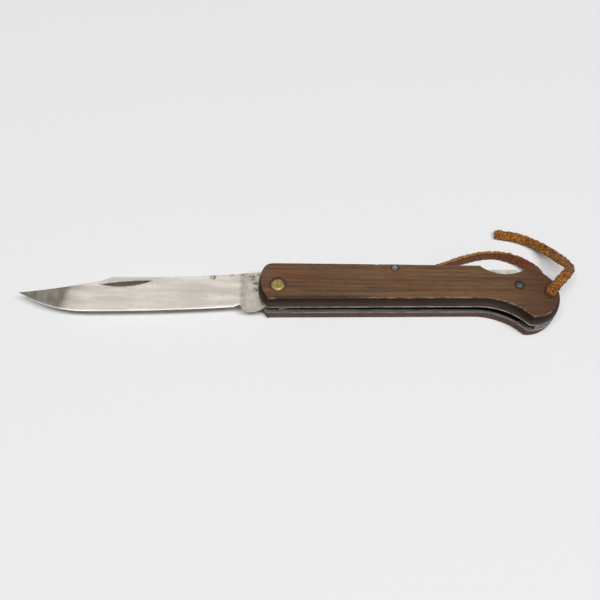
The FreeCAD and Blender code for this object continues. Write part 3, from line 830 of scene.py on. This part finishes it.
def wood_material(name, shift, depth):
    """Oiled open-grained hardwood: fine dark streaks along X, warm clouds, sides darkened by painted
    shade.
    """
    paint = Paint(name)
    figure = paint.noise((0.012, 0.45, 0.45), 5, 0.62, (shift, 0, 0), 1.1)
    streak = paint.noise((0.030, 1.3, 1.3), 5, 0.68, (shift, 5, 0), 0.8)
    pores = paint.noise((0.16, 5.5, 5.5), 3, 0.6, (shift, 9, 0))
    cloud = paint.noise((0.05, 0.10, 0.10), 3, 0.5, (shift, 2, 3))
    mottle = paint.noise((0.35, 0.9, 0.9), 4, 0.7, (shift, 14, 6))
    colour = paint.mix(paint.ramp(figure, 0.34, 0.66), srgb(90, 67, 49), srgb(120, 92, 66))
    colour = paint.mix(paint.ramp(streak, 0.46, 0.66, 0.0, 0.46), colour, srgb(62, 42, 32))
    colour = paint.mix(paint.ramp(mottle, 0.50, 0.72, 0.0, 0.35), colour, srgb(112, 88, 62))
    colour = paint.mix(paint.ramp(cloud, 0.52, 0.70, 0.0, 0.38), colour, srgb(104, 61, 38))
    near_front = paint.near(about_pivot(3 * MM, 8.5 * MM, 0), 2.0, 8.0)
    colour = paint.mix(paint.maths("MULTIPLY", near_front, 0.30), colour, srgb(116, 66, 38))
    near_butt = paint.ramp(paint.millimetre("X"), mm_from_pivot(102.0), mm_from_pivot(130.0),
                           0.0, 0.75)
    colour = paint.mix(near_butt, colour, srgb(78, 50, 35))
    fine = paint.ramp(pores, 0.54, 0.66)
    colour = paint.mix(paint.maths("MULTIPLY", fine, 0.45), colour, srgb(50, 34, 26))
    # Painted shade on the sides, as dark as depth sets for each scale
    side = paint.maths("MULTIPLY", paint.attribute("side"), depth, clamp=True)
    colour = paint.mix(side, colour, srgb(26, 18, 15))
    for point, reach in stain_places():
        stain = paint.maths("MULTIPLY", paint.near(point, reach * 0.45, reach), 0.75)
        colour = paint.mix(stain, colour, srgb(36, 28, 24))
    rub = paint.noise((0.22, 0.8, 0.8), 4, 0.7, (shift, 3, 8))
    worn = paint.maths("MULTIPLY", paint.attribute("wear"), paint.ramp(rub, 0.40, 0.58))
    colour = paint.mix(paint.maths("MULTIPLY", worn, 0.8), colour, srgb(160, 134, 112))
    fleck = paint.ramp(paint.noise((0.5, 1.1, 1.1), 3, 0.6, (shift, 21, 4)), 0.72, 0.79, 0, 0.5)
    colour = paint.mix(fleck, colour, srgb(140, 108, 80))
    gloss = paint.ramp(paint.noise((0.12, 0.3, 0.3), 4, 0.6, (shift, 1, 1)), 0.3, 0.7, 0.46, 0.62)
    gloss = paint.maths("ADD", gloss, paint.maths("MULTIPLY", fine, 0.2))
    paint.set(Base_Color=colour, Roughness=gloss, Specular_IOR_Level=0.12)
    paint.bump(paint.maths("SUBTRACT", 1.0, fine), 0.05, 0.8)
    paint.bump(streak, 0.06, 0.6)
    return paint.material


def stain_places():
    """Where the wood has gone dark round metal and thong, with the stain's reach in mm."""
    places = []
    for node, reach in (("rear_pin", 3.4), ("lock_bar_pin", 2.5), ("pivot_pin", 4.6)):
        low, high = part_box(node)
        places.append(((low + high) / 2, reach))
    places.append((about_pivot(*LANYARD_HOLE, 0), 3.6))
    return places


def leather_material():
    """Split leather: orange suede with dark clumps, tan cut edges, a red-brown skin side."""
    paint = Paint("leather")
    nap = paint.noise((0.9, 0.9, 0.9), 5, 0.74)
    clump = paint.noise((0.42, 0.42, 0.42), 4, 0.7, (4, 4, 4))
    fine = paint.noise((3.2, 3.2, 3.2), 3, 0.7, (7, 1, 2))
    face = paint.attribute("grain")
    suede = paint.mix(paint.ramp(nap, 0.40, 0.62), srgb(94, 52, 21), srgb(184, 120, 50))
    suede = paint.mix(paint.ramp(clump, 0.50, 0.62, 0.0, 0.70), suede, srgb(76, 40, 20))
    skin = paint.mix(paint.ramp(nap, 0.35, 0.7), srgb(82, 40, 26), srgb(118, 66, 40))
    cut = paint.mix(paint.ramp(nap, 0.38, 0.62), srgb(120, 78, 36), srgb(178, 134, 76))
    colour = paint.mix(paint.ramp(face, -0.7, -0.1), suede, cut)
    colour = paint.mix(paint.ramp(face, 0.45, 0.85), colour, skin)
    colour = paint.mix(paint.ramp(fine, 0.54, 0.70, 0.0, 0.6), colour, srgb(214, 160, 84))
    colour = paint.mix(paint.ramp(fine, 0.46, 0.32, 0.0, 0.6), colour, srgb(60, 32, 18))
    paint.set(Base_Color=colour, Roughness=0.95, Sheen_Weight=0.15, Sheen_Roughness=0.5,
              Specular_IOR_Level=0.12)
    paint.bump(nap, 0.45, 0.8)
    paint.bump(fine, 0.2, 0.7)
    return paint.material


RUST_PLACES = [
    # about the pivot, with the reach in mm
    (-0.0302, 0.0086, 1.9),
    (-0.0278, 0.0104, 1.3),
    (-0.0210, 0.0108, 2.1),
    (-0.0165, 0.0116, 2.6),
    (-0.0118, 0.0082, 2.0),
    (-0.0100, 0.0052, 1.7),
    (-0.0085, 0.0095, 1.2),
    (-0.0102, 0.0014, 1.5),
]


def blade_rust(paint):
    """Soft-edged spots near the tang, as a share from 0 to 1."""
    crumbs = paint.noise((0.9, 0.9, 0.9), 5, 0.7, (11, 2, 0), 0.4)
    rust = None
    for x, y, reach in RUST_PLACES:
        spot = paint.near(about_pivot(x, y, 0), reach * 0.45, reach * 1.15)
        spot = paint.maths("MULTIPLY", spot, paint.ramp(crumbs, 0.42, 0.52))
        rust = spot if rust is None else paint.maths("MAXIMUM", rust, spot)
    return rust


def blade_dark_reflection(paint, smear):
    """Share of painted dark reflection, brown-grey: dark on the point, with a faint fringe behind it.
    """
    streaks = paint.noise((0.35, 0.12, 0.12), 4, 0.6, (5, 0, 0), 0.8)
    slant = paint.maths("MULTIPLY", paint.millimetre("Y"), 0.15)
    place = paint.maths("SUBTRACT", paint.millimetre("X"), slant)
    place = paint.maths("ADD", place, paint.maths("MULTIPLY", smear, 3.0))
    place = paint.maths("ADD", place, paint.maths("MULTIPLY", streaks, 3.0))
    dark_end = mm_from_pivot(-92.8)
    dark = paint.ramp(place, dark_end - 2.4, dark_end + 2.4, 0.62, 0.0)
    faint = paint.ramp(place, dark_end - 1.0, dark_end + 11.0, 0.38, 0.0)
    bands = paint.ramp(paint.noise((0.20, 0.06, 0.06), 3, 0.6, (9, 4, 0), 0.5), 0.35, 0.65, 0.8, 1.0)
    return paint.maths("MULTIPLY", paint.maths("ADD", dark, faint), bands)


def blade_material():
    """Satin steel with fine marks along it, a painted dark reflection on the point and rust near the
    tang.
    """
    paint = Paint("blade_steel")
    brush = paint.noise((0.06, 5.0, 5.0), 4, 0.7)
    smear = paint.noise((0.035, 0.22, 0.22), 4, 0.55, (3, 1, 0))
    mottle = paint.noise((0.45, 0.6, 0.6), 5, 0.7, (8, 8, 0))
    colour = paint.mix(paint.ramp(smear, 0.32, 0.68), srgb(204, 197, 186), srgb(226, 220, 211))
    colour = paint.mix(paint.ramp(brush, 0.40, 0.70, 0.0, 0.30), colour, srgb(168, 162, 151))
    colour = paint.mix(paint.ramp(mottle, 0.48, 0.70, 0.0, 0.25), colour, srgb(176, 168, 152))
    x = paint.millimetre("X")
    # Partly painted shade along the plunge, where the grind's curve turns, partly the ricasso's own
    # darker finish
    plunge = mm_from_pivot(-15.8)
    strip = paint.maths("MULTIPLY", paint.ramp(x, plunge - 2.6, plunge - 0.6, 0.0, 1.0),
                        paint.ramp(x, plunge + 0.2, plunge + 3.2, 1.0, 0.55))
    strip = paint.maths("MULTIPLY", strip, paint.ramp(mottle, 0.30, 0.60, 0.25, 0.60))
    colour = paint.mix(strip, colour, srgb(138, 134, 120))
    # Painted reflection: a dark brown-grey reflection on the point
    dark_reflection = paint.maths("MULTIPLY", blade_dark_reflection(paint, smear), 0.92)
    colour = paint.mix(dark_reflection, colour, srgb(92, 86, 75))
    # Painted shade in the nail nick's hollow
    colour = paint.mix(paint.maths("MULTIPLY", paint.attribute("nick"), 0.9), colour,
                       srgb(72, 65, 54))
    # Painted highlight: the edge bevel lightened towards white
    colour = paint.mix(paint.maths("MULTIPLY", paint.attribute("bevel"), 0.4), colour,
                       srgb(250, 249, 246))
    rust = blade_rust(paint)
    colour = paint.mix(paint.maths("MULTIPLY", rust, 0.9), colour, srgb(104, 76, 50))
    # Painted shade on the blade where it runs into the handle
    shade_in_handle = paint.ramp(x, mm_from_pivot(-6.2), mm_from_pivot(-4.6))
    colour = paint.mix(paint.maths("MULTIPLY", shade_in_handle, 0.85), colour, srgb(58, 54, 48))
    metal = paint.maths("SUBTRACT", 0.92, paint.maths("MULTIPLY", rust, 0.8))
    gloss = paint.ramp(smear, 0.3, 0.7, 0.30, 0.40)
    gloss = paint.maths("ADD", gloss, paint.maths("MULTIPLY", rust, 0.4))
    gloss = paint.maths("ADD", gloss, paint.maths("MULTIPLY", dark_reflection, 0.08))
    paint.set(Base_Color=colour, Metallic=metal, Roughness=gloss)
    paint.bump(brush, 0.006, 0.8)
    paint.bump(rust, 0.03, 0.6)
    return paint.material


# The handle's lower edge is straight, then drops along a curve to the butt's beak. Millimetres.
LOWER_EDGE = -8.0
HOOK_START, HOOK_LONG, HOOK_DROP = 93.5, 19.0, 6.1


def slot_depth(paint):
    """How far a point lies inside the handle's lower edge, in mm."""
    past = paint.maths("SUBTRACT", paint.millimetre("X"), mm_from_pivot(HOOK_START))
    share = paint.maths("DIVIDE", past, HOOK_LONG, clamp=True)
    drop = paint.maths("MULTIPLY", paint.maths("MULTIPLY", share, share), HOOK_DROP)
    edge = paint.maths("SUBTRACT", PIVOT.y / MM + LOWER_EDGE, drop)
    return paint.maths("SUBTRACT", paint.millimetre("Y"), edge)


def slot_shade(paint, deep):
    """How black the liners are painted as shade: in the slot below the spine, and along the arrises
    beside it.
    """
    spine = PIVOT.y / MM + 10.0
    below = paint.ramp(paint.millimetre("Y"), spine, spine + 1.2, 1.0, 0.0)
    slot = paint.maths("MULTIPLY", paint.ramp(deep, 1.3, 2.1, 0.0, 0.95), below)
    height = paint.millimetre("Z")
    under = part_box("front_liner")[0].z / MM
    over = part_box("back_liner")[1].z / MM
    front = paint.maths("MULTIPLY", paint.ramp(height, under + 0.1, under + 0.6, 0.75, 0.0),
                        paint.ramp(height, under - 0.5, under - 0.4))
    arris = paint.maths("MAXIMUM", front, paint.ramp(height, over - 0.3, over - 0.02, 0.45, 0.0))
    return slot, arris


def steel_material(name, light, dark, gloss, along=(0.05, 5.0, 5.0), shift=0.0, slot_shaded=False):
    """Bare steel: fine marks, dull patches, brown specks and, on the liners, black painted shade in the
    slot and along its arrises.
    """
    paint = Paint(name)
    marks = paint.noise(along, 4, 0.6, (shift, 0, 0))
    dull = paint.noise((0.25, 0.4, 0.4), 5, 0.6, (shift, 3, 1))
    specks = paint.ramp(paint.noise((1.4, 1.4, 1.4), 4, 0.7, (shift, 8, 2)), 0.64, 0.74)
    colour = paint.mix(paint.ramp(dull, 0.35, 0.68), light, dark)
    colour = paint.mix(paint.ramp(marks, 0.5, 0.8, 0.0, 0.4), colour, dark)
    colour = paint.mix(paint.maths("MULTIPLY", specks, 0.6), colour, srgb(96, 72, 52))
    if slot_shaded:
        # Painted shade: black deep in the slot and along the liners' arrises beside it
        shade_black = srgb(14, 12, 11)
        deep = paint.maths("ADD", slot_depth(paint), paint.maths("MULTIPLY", dull, 0.4))
        for share in slot_shade(paint, deep):
            colour = paint.mix(share, colour, shade_black)
    rough = paint.maths("ADD", paint.ramp(dull, 0.35, 0.7, gloss, gloss + 0.22),
                        paint.maths("MULTIPLY", specks, 0.2))
    metal = paint.maths("SUBTRACT", 1.0, paint.maths("MULTIPLY", specks, 0.6))
    paint.set(Base_Color=colour, Metallic=metal, Roughness=rough)
    paint.bump(marks, 0.012, 0.7)
    return paint.material


def brass_material():
    """Aged brass, dull and scratched, darker round its rim."""
    paint = Paint("brass")
    dull = paint.noise((0.7, 0.7, 0.7), 5, 0.7)
    scratch = paint.noise((0.9, 7.0, 2.0), 3, 0.6, (2, 2, 2), 0.6)
    rim = paint.near(PIVOT, 2.5, 3.25)
    colour = paint.mix(paint.ramp(dull, 0.35, 0.66), srgb(166, 144, 92), srgb(118, 98, 60))
    colour = paint.mix(paint.ramp(scratch, 0.55, 0.8, 0.0, 0.5), colour, srgb(184, 166, 122))
    shade = paint.maths("MULTIPLY", paint.maths("SUBTRACT", 1.0, rim), 0.45)
    colour = paint.mix(shade, colour, srgb(84, 66, 42))
    paint.set(Base_Color=colour, Metallic=0.95,
              Roughness=paint.ramp(dull, 0.3, 0.7, 0.36, 0.56))
    paint.bump(scratch, 0.02, 0.6)
    paint.bump(dull, 0.05, 0.5)
    return paint.material


def floor_material():
    paint = Paint("floor", 1.0)
    grain = paint.noise((900.0, 900.0, 900.0), 2, 0.5)
    paint.set(Base_Color=paint.mix(grain, (0.83, 0.83, 0.835), (0.85, 0.85, 0.855)),
              Roughness=0.85, Specular_IOR_Level=0.25)
    return paint.material


def dress(thing, material):
    thing.data.materials.clear()
    thing.data.materials.append(material)


# ---------------------------------------------------------------- studio
STRIP_LONG, STRIP_DEEP = 3.6, 0.56
STRIP_WATTS = 117.0
STRIP_PLACE = (0.2, -1.09, 3.0)
STRIP_TILT = 35.0  # degrees from straight down, toward the knife and past it
FLOOR_HALF = 4.0
TENT_LIGHT, TENT_MIRRORED = 0.11, 0.88


def make_strip_light():
    """A long soft box along the knife, over the camera's side of the table."""
    data = bpy.data.lights.new("strip", "AREA")
    data.shape = "RECTANGLE"
    data.size = STRIP_LONG
    data.size_y = STRIP_DEEP
    data.energy = STRIP_WATTS
    light = bpy.data.objects.new("strip", data)
    bpy.context.scene.collection.objects.link(light)
    light.location = STRIP_PLACE
    light.rotation_euler = (math.radians(STRIP_TILT), 0.0, 0.0)


def make_studio():
    mesh = bpy.data.meshes.new("floor")
    corners = [(x * FLOOR_HALF, y * FLOOR_HALF, 0) for x, y in ((-1, -1), (1, -1), (1, 1), (-1, 1))]
    mesh.from_pydata(corners, [], [(0, 1, 2, 3)])
    floor = bpy.data.objects.new("floor", mesh)
    bpy.context.scene.collection.objects.link(floor)
    dress(floor, floor_material())
    make_world()
    make_strip_light()
    bpy.context.scene.view_settings.view_transform = "Standard"


def make_world():
    """A white tent: bright where metal mirrors it, dimmer as light on the knife."""
    world = bpy.data.worlds.new("studio")
    world.use_nodes = True
    tree = world.node_tree
    background = tree.nodes["Background"]
    background.inputs["Color"].default_value = (1.0, 1.0, 1.0, 1.0)
    rays = tree.nodes.new("ShaderNodeLightPath")
    strength = tree.nodes.new("ShaderNodeMapRange")
    strength.inputs["To Min"].default_value = TENT_LIGHT
    strength.inputs["To Max"].default_value = TENT_MIRRORED
    tree.links.new(rays.outputs["Is Glossy Ray"], strength.inputs["Value"])
    tree.links.new(strength.outputs["Result"], background.inputs["Strength"])
    bpy.context.scene.world = world


# ---------------------------------------------------------------- the knife
make_camera()

leather = leather_material()
front_exit = about_pivot(*LANYARD_HOLE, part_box("front_scale")[1].z)
back_exit = about_pivot(0.1270, 0.0081, PIVOT.z)
for lace_name, route, cad_node, leaves, skin_side, seed in (
    ("lace_front_tail", FRONT_TAIL, "thong_front_tail", front_exit, -1.0, 2.0),
    ("lace_back_tail", BACK_TAIL, "thong_back_tail", back_exit, 1.0, 11.0),
):
    lace, lace_path, lace_length = make_lace(lace_name, route, skin_side, seed)
    dress(lace, leather)
    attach(lace, "handle")
    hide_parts(cad_node)
    print("lace", lace_name, "length", round(lace_length, 5))

# depth sets how dark the painted shade on each scale's sides goes: more on the front scale than the
# back
for scale_name, cad_node, seed, depth in (
    ("wood_front", "front_scale", 1.7, 0.95),
    ("wood_back", "back_scale", 6.3, 0.45),
):
    scale = make_wood_scale(scale_name, cad_node, seed)
    dress(scale, wood_material(scale_name, seed, depth))
    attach(scale, "handle")
    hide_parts(cad_node)

blade = make_blade()
dress(blade, blade_material())
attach(blade, "blade")
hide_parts("blade")

spring = make_spring()
dress(spring, steel_material("spring_steel", srgb(150, 146, 138), srgb(92, 88, 82), 0.35, shift=5))

dress(frame["nodes"]["lock_bar"], steel_material(
    "bar_steel", srgb(216, 214, 204), srgb(168, 165, 154), 0.32, shift=2))
liner_steel = steel_material(
    "liner_steel", srgb(184, 180, 170), srgb(126, 122, 114), 0.36, shift=7, slot_shaded=True)
for liner in ("front_liner", "back_liner"):
    dress(frame["nodes"][liner], liner_steel)
dress(frame["nodes"]["butt_spacer"], steel_material(
    "spacer_steel", srgb(128, 130, 112), srgb(80, 82, 70), 0.42, (1.2, 1.2, 3.0), 9))
for pin, light, dark in (
    ("lock_bar_pin", srgb(150, 148, 142), srgb(98, 96, 91)),
    ("rear_pin", srgb(112, 110, 105), srgb(66, 64, 60)),
):
    dress(frame["nodes"][pin], steel_material(pin + "_steel", light, dark, 0.4, (2.5, 2.5, 2.5), 12))
dress(frame["nodes"]["pivot_pin"], brass_material())

make_studio()
